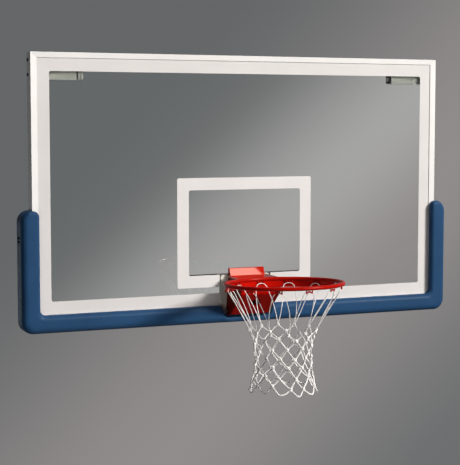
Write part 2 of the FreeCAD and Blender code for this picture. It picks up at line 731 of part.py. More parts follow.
# --------------------------------------------------------------- safety pad
# Channel-shaped foam pad round the lower half of the frame.
b = new_body()
nx = half - lip_wide
nz = Z(board_base + lip_wide)
face_pad(b, [[(-pad_half, Z(pad_low)), (pad_half, Z(pad_low)), (pad_half, Z(pad_high)), (nx, Z(pad_high)), (nx, nz),
              (pad_notch_half, nz), (pad_notch_half, Z(pad_notch_low)), (-pad_notch_half, Z(pad_notch_low)),
              (-pad_notch_half, nz), (-nx, nz), (-nx, Z(pad_high)), (-pad_half, Z(pad_high))]],
         Y(pad_front), Y(bracket_back))
face_pocket(b, [rect(-(half + pad_room), half + pad_room, Z(board_base - pad_room - 1), Z(pad_high + 1))],
            Y(lip_front), Y(frame_back))
round_edges(b, "y", [(-pad_half, Z(pad_low)), (pad_half, Z(pad_low))], 46.0)
node(b, "safety_pad")

# Small screws with long oval heads that pin the pad's side walls.
parts = []
for sx in (-1, 1):
    for z in (180.0, 165.0):
        a, c = span(sx, half, pad_half)
        h0, h1 = span(sx, pad_half, pad_half + 2.0)
        parts.append(fuse(rod("x", 2.5, a, c, Y(24.0), Z(z)), rod("x", 4.5, h0, h1, Y(15.0), Z(z)),
                          rod("x", 4.5, h0, h1, Y(33.0), Z(z)), box((h0, h1), (Y(15.0), Y(33.0)), (Z(z - 4.5), Z(z + 4.5)))))
node(group(*parts), "pad_screws")

# --------------------------------------------------------------- moving ring
# Round steel ring, a touch higher at its front.
tilt = ROT(V(1, 0, 0), -ring_tilt.v)
hoop = doc.addObject("Part::Torus", "hoop")
bind(hoop, "Radius1", ring_radius)
bind(hoop, "Radius2", ring_rod_dia / 2)
hoop.Placement = FreeCAD.Placement(V(0, 0, 0), tilt)
bind(hoop, ".Placement.Base.y", Y(ring_y))
bind(hoop, ".Placement.Base.z", Z(ring_z))
node(hoop, "ring_rod")

# Stiffening band under the rear half of the ring, deepest at the back.
r0, r1 = ring_radius - band_thick / 2, ring_radius + band_thick / 2
hoop_wall = cut(rod("z", r1, -band_tall - 4, 0.0, 0, 0), rod("z", r0, -band_tall - 5, 1.0, 0, 0))
b = new_body()
side_pad(b, [[(25.0, -4.0), (ring_radius + 8, -4.0), (ring_radius + 8, -band_tall), (110.0, -band_tall + 1),
              (25.0, -band_tall + 20)]],
         -(ring_radius + 8), ring_radius + 8)
band = common(hoop_wall, b)
band.Placement = FreeCAD.Placement(V(0, 0, 0), tilt)
bind(band, ".Placement.Base.y", Y(ring_y))
bind(band, ".Placement.Base.z", Z(ring_z))
node(band, "ring_band")

# Flat deck between ring and hinge housing, its front edge curved to the ring.
deck_low = deck_top - deck_thick
deck = box((-side_out, side_out), (Y(-178.0), Y(deck_rear)), (Z(deck_low), Z(deck_top)))
curve = rod("z", ring_radius + 3.5, Z(deck_low - 1), Z(deck_top + 1), 0, Y(ring_y))
node(cut(deck, curve), "ring_deck")

# Side plates: straight top, sloping front and a round eye at the hinge pin.
outline = [(Y(-30.0), Z(deck_low)), (Y(-162.0), Z(deck_low)), (Y(-162.0), Z(-62.0)),
           (Y(-44.2), Z(-161.7)), (Y(pin_y), Z(pin_z)), (Y(-5.5), Z(-146.0))]
for sx, label in ((-1, "left_side_plate"), (1, "right_side_plate")):
    b = new_body()
    a, c = span(sx, side_in, side_out)
    side_pad(b, [outline], a, c)
    eye = rod("x", side_round, a, c, Y(pin_y), Z(pin_z))
    hole = rod("x", bush_dia / 2, a - 1, c + 1, Y(pin_y), Z(pin_z))
    node(cut(fuse(b, eye), hole), label)

# Folded front cover with a round opening in front of the spring nut.
b = new_body()
side_pad(b, [[(Y(-152.0), Z(-36.0)), (Y(-152.0), Z(-70.0)), (Y(-47.0), Z(-164.0)),
              (Y(-44.3), Z(-161.0)), (Y(-148.0), Z(-68.2)), (Y(-148.0), Z(-36.0))]],
         -side_in, side_in)
round_edges(b, "x", [(Y(-152.0), Z(-70.0))], 9.0)
round_edges(b, "x", [(Y(-148.0), Z(-68.2))], 5.0)
opening = doc.addObject("Part::Cylinder", "cover_opening")
opening.Radius = 22.5
opening.Height = 30
opening.Placement = FreeCAD.Placement(V(0, 0, 0), ROT(V(1, 0, 0), -41.8))
bind(opening, ".Placement.Base.y", Y(-106.5 - 15 * 0.6665))
bind(opening, ".Placement.Base.z", Z(-110.0 - 15 * 0.7455))
node(cut(b, opening), "front_cover")

# Rear flange that the spring bears on, slotted for the fixed rod.
b = new_body()
face_pad(b, [rect(-side_in, side_in, Z(-124.0), Z(-50.0)), rect(-9.0, 9.0, Z(-93.0), Z(-63.0))],
         Y(flange_front), Y(flange_rear))
node(b, "rear_flange")

# Bronze bushes in the side plates, running on the pin.
parts = []
for sx in (-1, 1):
    a, c = span(sx, lug_out + 2.5, side_out + 1.5)
    parts.append(cut(rod("x", bush_dia / 2, a, c, Y(pin_y), Z(pin_z)),
                     rod("x", pin_dia / 2 + pin_fit, a - 1, c + 1, Y(pin_y), Z(pin_z))))
node(group(*parts), "hinge_bushes")

# Net clips: bent wire in a W under the ring, evenly spaced.
wr = clip_wire.v / 2
profile = [(-13.0, -4.0), (-11.5, -19.0), (0.0, -11.5), (11.5, -19.0), (13.0, -4.0)]


def one_clip():
    solid = None
    for (t0, z0), (t1, z1) in zip(profile, profile[1:]):
        p, r = V(clip_radius.v, t0, z0), V(clip_radius.v, t1, z1)
        piece = Part.makeCylinder(wr, (r - p).Length, p, r - p)
        solid = piece if solid is None else solid.fuse(piece)
    for t0, z0 in profile[1:-1]:
        solid = solid.fuse(Part.makeSphere(wr, V(clip_radius.v, t0, z0)))
    return solid.removeSplitter()


clip = one_clip()
clips = []
for i in range(int(clip_count.v)):
    c = clip.copy()
    c.rotate(V(0, 0, 0), V(0, 0, 1), 360.0 / clip_count.v * i)
    clips.append(c)
o = doc.addObject("Part::Feature", "clips")
o.Shape = Part.makeCompound(clips)
o.Placement = FreeCAD.Placement(V(0, Y(ring_y).v, Z(ring_z).v), tilt)
node(o, "net_clips")

# Net: thin funnel of the cord net's outer shape, open at both ends.
outer = [(229.0, -24.0), (228.0, -34.0), (139.0, -186.0), (124.0, -218.0), (117.0, -253.0), (109.0, -289.0),
         (109.0, -333.0), (118.0, -364.0), (139.0, -412.0)]
outer = [(q(r), q(z)) for r, z in outer] + [(q(150.0), net_low)]
loop = outer + [(r - net_wall, z) for r, z in reversed(outer)]
b = new_body()
sk = sketch(b, "XZ_Plane", 0, [loop])
rev = b.newObject("PartDesign::Revolution", "net_round")
rev.Profile = sk
rev.ReferenceAxis = (sk, ["V_Axis"])
rev.Angle = 360.0
b.Placement = FreeCAD.Placement(V(0, 0, 0), ROT())
bind(b, ".Placement.Base.y", Y(ring_y))
bind(b, ".Placement.Base.z", Z(0))
node(b, "net")

# ------------------------------------------------------------------- checks
doc.recompute()
for o in doc.Objects:
    if "Invalid" in o.State or "Error" in o.State:
        raise RuntimeError("%s (%s) failed: %s" % (o.Name, o.Label, o.State))
seen = set()
for o in nodes:
    s = o.Shape
    if s.isNull() or not s.isValid() or not s.Solids or s.Volume <= 0:
        raise RuntimeError("bad shape: " + o.Label)
    if o.Label in seen or not re.fullmatch("[a-z_]{1,59}", o.Label):
        raise RuntimeError("bad label: " + o.Label)
    seen.add(o.Label)

os.makedirs("parts", exist_ok=True)
for o in nodes:
    o.Shape.exportStep("parts/%s.step" % o.Label)
    bb = o.Shape.BoundBox
    print("%-24s solids %2d  vol %11.1f mm3  x %8.1f..%8.1f  y %8.1f..%8.1f  z %8.1f..%8.1f" % (
        o.Label, len(o.Shape.Solids), o.Shape.Volume, bb.XMin, bb.XMax, bb.YMin, bb.YMax, bb.ZMin, bb.ZMax))
print(len(nodes), "nodes")
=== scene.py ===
import json
import math
import random

import bmesh
import bpy
from mathutils import Matrix, Vector, noise


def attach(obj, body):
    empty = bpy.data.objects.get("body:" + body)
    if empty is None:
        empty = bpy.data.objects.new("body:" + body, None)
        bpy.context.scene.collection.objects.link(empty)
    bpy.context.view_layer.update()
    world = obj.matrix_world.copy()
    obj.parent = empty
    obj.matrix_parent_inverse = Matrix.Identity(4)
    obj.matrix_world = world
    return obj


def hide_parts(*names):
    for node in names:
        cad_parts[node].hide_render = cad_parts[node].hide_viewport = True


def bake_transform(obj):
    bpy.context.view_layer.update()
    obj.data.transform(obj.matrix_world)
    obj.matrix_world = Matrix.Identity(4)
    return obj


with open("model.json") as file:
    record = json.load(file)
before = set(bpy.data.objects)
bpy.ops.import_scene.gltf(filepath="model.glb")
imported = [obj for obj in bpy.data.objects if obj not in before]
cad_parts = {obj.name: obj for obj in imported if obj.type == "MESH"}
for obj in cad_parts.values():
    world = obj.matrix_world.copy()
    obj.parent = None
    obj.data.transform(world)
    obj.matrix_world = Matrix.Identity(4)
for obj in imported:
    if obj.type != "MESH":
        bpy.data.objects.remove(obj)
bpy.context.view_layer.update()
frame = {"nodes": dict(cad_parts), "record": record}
scene = bpy.context.scene
scene.view_settings.view_transform = "Standard"
scene.view_settings.look = "None"
scene.view_settings.exposure = 0.0
scene.view_settings.gamma = 1.0
nodes = frame["nodes"]

GLASS_FACE = -0.060     # front of the glass, m
GOAL_LEVEL = -0.35855   # level of the ring's deck, m


def P(x, y, z):
    """Point given in millimetres from the middle of the goal level on the front of the glass."""
    return Vector((x / 1000.0, GLASS_FACE + y / 1000.0, GOAL_LEVEL + z / 1000.0))


# ---------------------------------------------------------------- camera
cam_data = bpy.data.cameras.new("camera")
cam = bpy.data.objects.new("camera", cam_data)
scene.collection.objects.link(cam)
cam.location = (-2.1758, -5.1113, 0.27435)
look_at = Vector((-0.0697, -0.060, -0.18275))
aim = (look_at - Vector(cam.location)).normalized()
cam.rotation_euler = aim.to_track_quat("-Z", "Y").to_euler()
cam_data.sensor_width = 36.0
cam_data.lens = 101.50
cam_data.clip_end = 100.0
scene.camera = cam


# ---------------------------------------------------------------- materials
class Mat:
    """Small helper that lays out a node material round one Principled shader."""

    def __init__(self, name):
        self.m = bpy.data.materials.new(name)
        self.m.use_nodes = True
        self.t = self.m.node_tree
        self.bsdf = self.t.nodes["Principled BSDF"]
        self.coord = self.t.nodes.new("ShaderNodeTexCoord")

    def put(self, **values):
        for k, v in values.items():
            s = self.bsdf.inputs[k.replace("_", " ")]
            s.default_value = v
        return self

    def node(self, kind, **props):
        n = self.t.nodes.new(kind)
        for k, v in props.items():
            setattr(n, k, v)
        return n

    def link(self, a, b):
        self.t.links.new(a, b)

    def noise(self, scale, detail=3.0, rough=0.55, stretch=None):
        n = self.node("ShaderNodeTexNoise")
        n.inputs["Scale"].default_value = scale
        n.inputs["Detail"].default_value = detail
        n.inputs["Roughness"].default_value = rough
        if stretch:
            mp = self.node("ShaderNodeMapping")
            mp.inputs["Scale"].default_value = stretch
            self.link(self.coord.outputs["Object"], mp.inputs["Vector"])
            self.link(mp.outputs["Vector"], n.inputs["Vector"])
        else:
            self.link(self.coord.outputs["Object"], n.inputs["Vector"])
        return n.outputs["Fac"]

    def ramp(self, fac, stops):
        r = self.node("ShaderNodeValToRGB")
        e = r.color_ramp.elements
        while len(e) < len(stops):
            e.new(0.5)
        for el, (pos, col) in zip(e, stops):
            el.position = pos
            el.color = (*col, 1.0) if len(col) == 3 else col
        self.link(fac, r.inputs["Fac"])
        return r.outputs["Color"]

    def span(self, fac, lo, hi, a=0.3, b=0.7):
        r = self.node("ShaderNodeMapRange")
        r.inputs["From Min"].default_value = a
        r.inputs["From Max"].default_value = b
        r.inputs["To Min"].default_value = lo
        r.inputs["To Max"].default_value = hi
        self.link(fac, r.inputs["Value"])
        return r.outputs["Result"]

    def color(self, socket):
        self.link(socket, self.bsdf.inputs["Base Color"])
        return self

    def rough(self, socket):
        self.link(socket, self.bsdf.inputs["Roughness"])
        return self

    def bump(self, fac, strength, distance=0.001):
        b = self.node("ShaderNodeBump")
        b.inputs["Strength"].default_value = strength
        b.inputs["Distance"].default_value = distance
        self.link(fac, b.inputs["Height"])
        self.link(b.outputs["Normal"], self.bsdf.inputs["Normal"])
        return self


def tint(c, k):
    return tuple(min(1.0, v * k) for v in c)


def painted(name, col, rough, var=0.06, grain=260.0, bump=0.06, coat=0.0, coat_rough=0.08, metallic=0.0, spread=0.08,
            spec=0.5, shade=(1.0, 1.0, 1.0)):
    m = Mat(name)
    patch = m.noise(9.0, 4.0)
    fine = m.noise(grain, 2.0)
    m.color(m.ramp(patch, [(0.25, tint(col, 1 - var)), (0.75, tint(col, 1 + var))]))
    m.rough(m.span(m.noise(30.0, 4.0), max(0.02, rough - spread), rough + spread))
    m.bump(fine, bump, 0.0006)
    m.put(Metallic=metallic, Coat_Weight=coat, Coat_Roughness=coat_rough, Specular_IOR_Level=spec,
          Specular_Tint=(*shade, 1.0))
    return m.m


mats = {}
mats["white_frame"] = painted("powder_white", (0.81, 0.805, 0.84), 0.42, 0.03, 700.0, 0.05)
mats["white_print"] = painted("enamel_white", (0.650, 0.640, 0.670), 0.5, 0.03, 500.0, 0.03, spec=0.3)
target_white = painted("enamel_target", (0.690, 0.680, 0.715), 0.5, 0.03, 500.0, 0.03, spec=0.3)
mats["alloy"] = painted("mill_alloy", (0.62, 0.63, 0.64), 0.38, 0.06, 320.0, 0.05, metallic=1.0)
mats["dark_steel"] = painted("black_oxide", (0.03, 0.03, 0.032), 0.45, 0.2, 400.0, 0.06, metallic=0.8)
mats["black_rubber"] = painted("rubber_black", (0.014, 0.014, 0.015), 0.75, 0.2, 800.0, 0.15)
# Lightened almost to white: painted light that stands in for the lamp light the glass keeps off the brackets behind it.
mats["bracket_paint"] = painted("bracket_enamel_painted_light", (0.92, 0.93, 0.89), 0.45, 0.08, 300.0, 0.07)
mats["black_plastic"] = painted("plug_plastic", (0.02, 0.02, 0.02), 0.5, 0.2, 600.0, 0.1)
mats["zinc_steel"] = painted("zinc_plate", (0.58, 0.59, 0.60), 0.33, 0.1, 380.0, 0.06, metallic=1.0)
mats["grey_paint"] = painted("plate_enamel", (0.62, 0.60, 0.57), 0.42, 0.06, 320.0, 0.06)
mats["dark_paint"] = painted("support_enamel", (0.045, 0.045, 0.045), 0.5, 0.15, 300.0, 0.08)
mats["red_paint"] = painted("powder_red", (0.50, 0.005, 0.002), 0.10, 0.08, 420.0, 0.03, coat=0.12, coat_rough=0.012, spread=0.03,
                            spec=0.10, shade=(1.0, 0.62, 0.42))
# Darker, duller copy of the red paint: painted shade for the front cover, rear flange and back plate, which lie in
# shade under the ring and hood.
shaded_red_satin = painted("powder_red_satin_shade", (0.38, 0.003, 0.001), 0.34, 0.08, 420.0, 0.04, spread=0.05, spec=0.03,
                    shade=(1.0, 0.62, 0.42))
# Far darker copy of the red paint: painted shade on the side plates, which lie in shadow.
shaded_red_side = painted("powder_red_side_shade", (0.125, 0.003, 0.001), 0.40, 0.08, 420.0, 0.04, spread=0.05, spec=0.06,
                   shade=(1.0, 0.62, 0.42))
red_hood = painted("powder_red_hood", (0.50, 0.005, 0.002), 0.024, 0.05, 420.0, 0.0, coat=0.66, coat_rough=0.012, spread=0.003,
                   spec=0.75, shade=(1.0, 0.62, 0.42))
# Red tinted towards orange: painted reflection of the lit hood and board that the deck faces; its coat gives real gloss
# besides.
painted_reflection_red_deck = painted("powder_red_deck_painted_reflection", (0.50, 0.055, 0.028), 0.12, 0.08, 420.0, 0.03, coat=0.6, coat_rough=0.06, spread=0.03,
                   spec=0.2, shade=(1.0, 0.62, 0.42))
# Darker, rougher copy of the ring's red for the rod and the net clips: the darker base is painted shade on the ring's
# front.
shaded_red_rod = painted("powder_red_rod_shade", (0.37, 0.004, 0.002), 0.30, 0.08, 420.0, 0.03, coat=0.05, coat_rough=0.26, spread=0.03,
                  spec=0.10, shade=(1.0, 0.62, 0.42))
mats["spring_steel"] = painted("oiled_spring", (0.12, 0.12, 0.125), 0.36, 0.2, 500.0, 0.08, metallic=0.9)
mats["bronze"] = painted("sintered_bronze", (0.42, 0.26, 0.10), 0.45, 0.15, 700.0, 0.12, metallic=1.0)

g = Mat("tempered_glass")
g.put(Roughness=0.0, IOR=1.5, Transmission_Weight=1.0, Specular_IOR_Level=0.015)
g.color(g.ramp(g.noise(2.5, 3.0), [(0.3, (0.958, 0.985, 0.972)), (0.7, (0.968, 0.990, 0.980))]))
mats["glass"] = g.m

f = Mat("urethane_blue")
blue = (0.0175, 0.060, 0.148)
f.color(f.ramp(f.noise(6.0, 5.0), [(0.25, tint(blue, 0.86)), (0.75, tint(blue, 1.14))]))
f.rough(f.span(f.noise(60.0, 4.0), 0.40, 0.54))
f.bump(f.noise(1400.0, 2.0), 0.22, 0.0008)
f.put(Specular_IOR_Level=0.10)
mats["blue_foam"] = f.m

c = Mat("braided_cord")
cord_col = (0.86, 0.85, 0.88)
c.color(c.ramp(c.noise(55.0, 5.0), [(0.2, tint(cord_col, 0.86)), (0.7, tint(cord_col, 1.08))]))
c.rough(c.span(c.noise(300.0, 2.0), 0.70, 0.92))
c.bump(c.noise(2600.0, 2.0), 0.45, 0.0006)
c.put(Sheen_Weight=0.25, Sheen_Roughness=0.5)
mats["white_cord"] = c.m

slot_of = {}
for part in frame["record"]["subparts"]:
    slot_of[part["node"]] = part["material_slot"]
for name, obj in nodes.items():
    obj.data.materials.clear()
    obj.data.materials.append(mats[slot_of[name]])
# The copies of the red paint set below carry painted shade (satin, side and rod copies) and painted reflection (deck
# copy).
for name in ("front_cover", "rear_flange", "goal_back_plate"):
    nodes[name].data.materials[0] = shaded_red_satin
for name in ("left_side_plate", "right_side_plate"):
    nodes[name].data.materials[0] = shaded_red_side
nodes["ring_deck"].data.materials[0] = painted_reflection_red_deck
for name in ("ring_rod", "net_clips"):
    nodes[name].data.materials[0] = shaded_red_rod
nodes["goal_hood"].data.materials[0] = red_hood
nodes["pad_screws"].data.materials[0] = painted("screw_black", (0.004, 0.004, 0.005), 0.8, 0.2, 400.0, 0.06, spec=0.03)


# ---------------------------------------------------------------- mesh helpers
def make(name, verts, faces, slot, smooth=True):
    me = bpy.data.meshes.new(name)
    me.from_pydata([tuple(v) for v in verts], [], faces)
    me.validate()
    bm = bmesh.new()
    bm.from_mesh(me)
    bmesh.ops.recalc_face_normals(bm, faces=bm.faces)
    bm.to_mesh(me)
    bm.free()
    if smooth:
        for p in me.polygons:
            p.use_smooth = True
    me.materials.append(mats[slot])
    o = bpy.data.objects.new(name, me)
    scene.collection.objects.link(o)
    return o


def frames_along(pts, closed=False):
    """Tangent and two cross directions at each point, carried along without twist."""
    n = len(pts)
    tang = []
    for i in range(n):
        a = pts[(i - 1) % n] if (closed or i > 0) else pts[i]
        b = pts[(i + 1) % n] if (closed or i < n - 1) else pts[i]
        tang.append((b - a).normalized())
    ref = Vector((0, 0, 1)) if abs(tang[0].z) < 0.9 else Vector((1, 0, 0))
    u = tang[0].cross(ref).normalized()
    out = []
    for i in range(n):
        if i:
            u = (u - tang[i] * u.dot(tang[i])).normalized()
        out.append((tang[i], u, tang[i].cross(u)))
    return out


def tube(pts, radius, sides, twist=0.0, lobes=3, depth=0.0, closed=False, caps=True, ends=(1.0, 1.0)):
    """Vertices and faces of a tube with twisted lobes along a line of points; ends scale its thickness."""
    fr = frames_along(pts, closed)
    verts, faces, s = [], [], 0.0
    for i, (p, (t, u, v)) in enumerate(zip(pts, fr)):
        if i:
            s += (p - pts[i - 1]).length
        for k in range(sides):
            a = 2 * math.pi * k / sides
            r = radius * (ends[0] + (ends[1] - ends[0]) * i / max(1, len(pts) - 1)) * (1.0 - depth * (1.0 - abs(math.cos(lobes * (a - twist * s) / 2.0))))
            verts.append(p + u * (r * math.cos(a)) + v * (r * math.sin(a)))
    n = len(pts)
    for i in range(n if closed else n - 1):
        j = (i + 1) % n
        for k in range(sides):
            m = (k + 1) % sides
            faces.append((i * sides + k, i * sides + m, j * sides + m, j * sides + k))
    if caps and not closed:
        faces.append(tuple(range(sides - 1, -1, -1)))
        faces.append(tuple((n - 1) * sides + k for k in range(sides)))
    return verts, faces


def nurbs_points(name, ctrl, resolution):
    """The points of a smooth NURBS line through the given route."""
    cu = bpy.data.curves.new(name, "CURVE")
    cu.dimensions = "3D"
    sp = cu.splines.new("NURBS")
    sp.points.add(len(ctrl) - 1)
    for q, p in zip(sp.points, ctrl):
        q.co = (p.x, p.y, p.z, 1.0)
    sp.order_u = 3
    sp.use_endpoint_u = True
    sp.resolution_u = resolution
    ob = bpy.data.objects.new(name, cu)
    me = bpy.data.meshes.new_from_object(ob)
    pts = [v.co.copy() for v in me.vertices]
    bpy.data.meshes.remove(me)
    bpy.data.objects.remove(ob)
    bpy.data.curves.remove(cu)
    return pts


def run_length(pts):
    return sum((b - a).length for a, b in zip(pts, pts[1:]))


# ---------------------------------------------------------------- white prints
# The sheets stand a tenth of a millimetre off the glass, so that their backs are lit through it.
for node in ("border_print", "target_print"):
    src = nodes[node]
    place = src.matrix_world
    v = [place @ p.co + Vector((0.0, -0.0001, 0.0)) for p in src.data.vertices]
    fcs = [tuple(p.vertices) for p in src.data.polygons]
    o = make(node.replace("print", "sheet"), v, fcs, "white_print", smooth=False)
    if node == "target_print":
        o.data.materials[0] = target_white
    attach(o, "board")
    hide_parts(node)

# ---------------------------------------------------------------- cord net
RING_Y, RING_Z, TILT = -388.0, 0.5, math.radians(-2.0)
CORD = 5.2
rng = random.Random(11)


def at_ring(angle, radius, z):
    """Point hung from the tilted ring: angle from +X, radius and height in mm."""
    x, y = radius * math.cos(angle), radius * math.sin(angle)
    ty = y * math.cos(TILT) - z * math.sin(TILT)
    tz = y * math.sin(TILT) + z * math.cos(TILT)
    return P(x, RING_Y + ty, RING_Z + tz)


STEP = math.radians(30.0)
FIRST = 0.0
rows = [(-183.0, 133.0), (-209.0, 121.0), (-243.0, 116.0), (-282.0, 113.0), (-321.0, 112.0), (-357.0, 115.0), (-392.0, 126.0)]
# The hanging part leans a little to one side, most at its waist, m.
LEAN = Vector((-0.0035, 0.0014, 0.0))
knot = {}
for k, (z, r) in enumerate(rows, start=1):
    loose = 0.5 + 0.12 * k
    for i in range(24):
        if (i - k) % 2:
            continue
        a = FIRST + i * STEP / 2 + math.radians(rng.uniform(-2.6, 2.6)) * loose
        knot[(k, i)] = (a, r + rng.uniform(-3.0, 3.0) * loose, z + rng.uniform(-6.0, 6.0) * loose)


def near(a, ref):
    while a - ref > math.pi:
        a -= 2 * math.pi
    while a - ref < -math.pi:
        a += 2 * math.pi
    return a


def hung(a, r, z):
    t = min(1.0, max(0.0, (-z - 60.0) / 150.0)) * (1.0 - min(1.0, max(0.0, (-z - 350.0) / 90.0)))
    return P(r * math.cos(a), RING_Y + r * math.sin(a), z) + LEAN * t


strands, lengths = [], {}
for i in range(12):
    for way in (1, -1):
        a0 = FIRST + i * STEP
        ctrl = []
        for side, r, z in ((0.0, 225.0, -16.0), (9.0, 224.3, -16.4), (18.0, 222.5, -21.5), (24.5, 220.5, -32.0)):
            ctrl.append(at_ring(a0 + way * side / r, r, z))
        prev = (a0 + way * 26.0 / 220.0, 218.5, -41.0)
        here = a0
        for k in range(1, 8):
            a, r, z = knot[(k, (2 * i + way * k) % 24)]
            a = near(a, here)
            here = a
            if k == 1:
                slack = rng.uniform(0.0, 1.0)
                swing = math.radians(rng.uniform(-3.6, 3.6))
                for t in (0.3, 0.68):
                    bow = math.sin(math.pi * t)
                    ctrl.append(hung(prev[0] + (a - prev[0]) * t + swing * bow,
                                     prev[1] + (r - prev[1]) * t - 9.0 * bow * slack,
                                     prev[2] + (z - prev[2]) * t - 4.0 * bow * slack))
            else:
                bow = rng.uniform(-5.0, 6.0)
                ctrl.append(hung((prev[0] + a) / 2, (prev[1] + r) / 2 + bow, (prev[2] + z) / 2 - rng.uniform(0.0, 2.5)))
            ctrl.append(hung(a, r, z))
            prev = (a, r, z)
        if way == 1:
            a2, r2, z2 = knot[(7, (2 * i + 7 + 2) % 24)]
            a2 = near(a2, here)
            drop = rng.uniform(24.0, 33.0)
            mid = (here + a2) / 2 + math.radians(rng.uniform(-4.0, 4.0))
            low = (prev[2] + z2) / 2 - drop
            low = max(low, -428.0)
            rr = (prev[1] + r2) / 2 + rng.uniform(4.0, 14.0)
            ctrl.append(hung(here + (mid - here) * 0.45, prev[1] + (rr - prev[1]) * 0.5, prev[2] - drop * 0.62))
            ctrl.append(hung(here + (mid - here) * 0.85, rr, low))
            ctrl.append(hung(mid + (a2 - mid) * 0.15, rr, low))
            ctrl.append(hung(mid + (a2 - mid) * 0.55, r2 + (rr - r2) * 0.5, z2 - drop * 0.62))
            ctrl.append(hung(a2, r2, z2))
        name = "net_strand_%02d_%s" % (i + 1, "a" if way == 1 else "b")
        pts = nurbs_points(name + "_route", ctrl, 14)
        v, fcs = tube(pts, CORD / 2000.0, 12, twist=way * 2 * math.pi / 0.016, lobes=3, depth=0.22, ends=(0.50, 1.28))
        o = make(name, v, fcs, "white_cord")
        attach(o, "ring")
        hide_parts("net")
        strands.append((o, pts))
        lengths[name] = run_length(pts)

# Small knots where the strands cross; each set belongs to the strand that it is tied on.
for i in range(12):
    kv, kf = [], []
    for k in range(1, 8):
        a, r, z = knot[(k, (2 * i + k) % 24)]
        centre = hung(a, r, z)
        out = Vector((math.cos(a), math.sin(a), 0.0))
        side = Vector((-math.sin(a), math.cos(a), 0.0))
        up = Vector((0, 0, 1))
        spin = rng.uniform(0, 2 * math.pi)
        size = rng.uniform(0.92, 1.15)
        line = []
        n = 40
        for s in range(n):
            w = 2 * math.pi * s / n
            rad = (3.0 + 1.4 * math.cos(3 * w)) * size / 1000.0
            dep = 2.2 * math.sin(3 * w) * size / 1000.0
            line.append(centre + side * (rad * math.cos(2 * w + spin)) + up * (1.15 * rad * math.sin(2 * w + spin))
                        + out * (dep + 0.0015))
        v, fcs = tube(line, 0.0030 * size, 7, closed=True)
        base = len(kv)
        kv += v
        kf += [tuple(x + base for x in fc) for fc in fcs]
    o = make("net_knots_%02d" % (i + 1), kv, kf, "white_cord")
    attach(o, "ring")

# ---------------------------------------------------------------- edge pad
OUT, INN = 48.6, -24.6   # reach outside and inside the frame's edge, mm
HALF, BASE = 914.4, -152.4


def arc(cx, cy, r, a0, a1, n):
    return [(cx + r * math.cos(math.radians(a0 + (a1 - a0) * i / n)), cy + r * math.sin(math.radians(a0 + (a1 - a0) * i / n)))
            for i in range(n + 1)]


section = []   # (reach n, depth y, corner radius)
section += [(INN, -5.7, 24.0), (INN, -8.0, 24.0)]
section += [(a, b, 24.0 + 0.307 * (a - INN)) for a, b in arc(INN + 22, -10.0, 22.0, 180, 270, 9)[1:]]
section += [(12.0, -32.0, 34.7)]
section += [(a, b, 24.0 + 0.307 * (a - INN)) for a, b in arc(OUT - 27, -5.0, 27.0, 270, 360, 11)]
section += [(OUT, 14.0, 46.0), (OUT, 40.0, 46.0)]
section += [(a, b, 46.0) for a, b in arc(OUT - 6, 54.0, 6.0, 0, 90, 4)]
section += [(14.0, 60.0, 40.0), (-8.0, 60.0, 24.0), (INN + 3, 60.0, 22.0), (INN, 58.0, 22.0), (INN, 54.6, 22.0), (3.1, 54.6, 2.0),
            (3.1, 25.0, 2.0), (3.1, -5.7, 2.0)]
TOP_END = 288.0
NOTCH = 21.6    # reach of the lowered edge under the goal


def lerp(a, b, t):
    return a + (b - a) * t


def columns():
    """Stations along the U from the upper left end to the upper right end.
    Each gives the kind of station and its own numbers; x is mirrored for the right half."""
    cols = []
    steps = 14
    for i in range(steps + 1):             # rounded upper end
        t = i / steps
        z = TOP_END - 46.0 * (1 - math.cos(t * math.pi / 2))
        d = TOP_END - z
        outer = 46.0 - math.sqrt(max(0.0, 46.0 ** 2 - (46.0 - d) ** 2))
        inner = 26.0 - math.sqrt(max(0.0, 26.0 ** 2 - (26.0 - min(d, 26.0)) ** 2))
        front = 16.0 - math.sqrt(max(0.0, 16.0 ** 2 - (16.0 - min(d, 16.0)) ** 2))
        cols.append(("side", z, inner, outer, front))
    z = TOP_END - 46.0
    for i in range(1, 25):
        cols.append(("side", z + (-80.0 - z) * i / 24.0, 0.0, 0.0, 0.0))
    for i in range(0, 13):
        cols.append(("corner", i / 12.0))
    x = -840.0
    for i in range(0, 36):
        xx = lerp(x, -142.0, i / 35.0)
        cols.append(("base", xx, xx, INN))
    path = [(-136.0, INN), (-130.0, INN)]
    path += [(a, b) for a, b in arc(-126.0, INN + 14.0, 14.0, 270, 360, 6)]
    path += [(-112.0, -6.0)]
    path += [(a, b) for a, b in arc(-88.0, NOTCH - 24.0, 24.0, 180, 90, 7)]
    for i, (a, b) in enumerate(path):
        cols.append(("base", a, lerp(-136.0, -80.0, i / (len(path) - 1)), b))
    for i in range(1, 5):
        xx = lerp(-80.0, 0.0, i / 4.0)
        cols.append(("base", xx, xx, NOTCH))
    return cols


ARC_END = 10      # last point of the section's inner rounding
FRONT = -32.0     # front of the pad


def pad_point(col, sec, j):
    n, y, rad = sec
    if 0 < j <= ARC_END:
        # The inner rounding is tighter along the sides than along the base.
        tight = {"side": 0.65, "base": 1.0}.get(col[0])
        if tight is None:
            tight = lerp(0.65, 1.0, col[1])
        n, y = INN + (n - INN) * tight, FRONT + (y - FRONT) * tight
    frac = (n - INN) / (OUT - INN)
    if col[0] == "side":
        _, z, inner, outer, front = col
        nn = lerp(INN + inner, OUT - outer, frac)
        yy = y
        if front > 0:
            yy = max(y, -32.0 + front) if y < 0 else min(y, 60.0 - front * 0.5)
        return (-(HALF + nn), yy, z)
    if col[0] == "corner":
        a = col[1] * math.pi / 2
        cx, cz = -(HALF + n) + rad, BASE - n + rad
        px = cx - rad * math.cos(a)
        pz = cz - rad * math.sin(a)
        return (px, y, pz)
    _, x_in, x_out, lo = col
    nn = lerp(lo, OUT, frac)
    return (lerp(x_in, x_out, frac), y, BASE - nn)


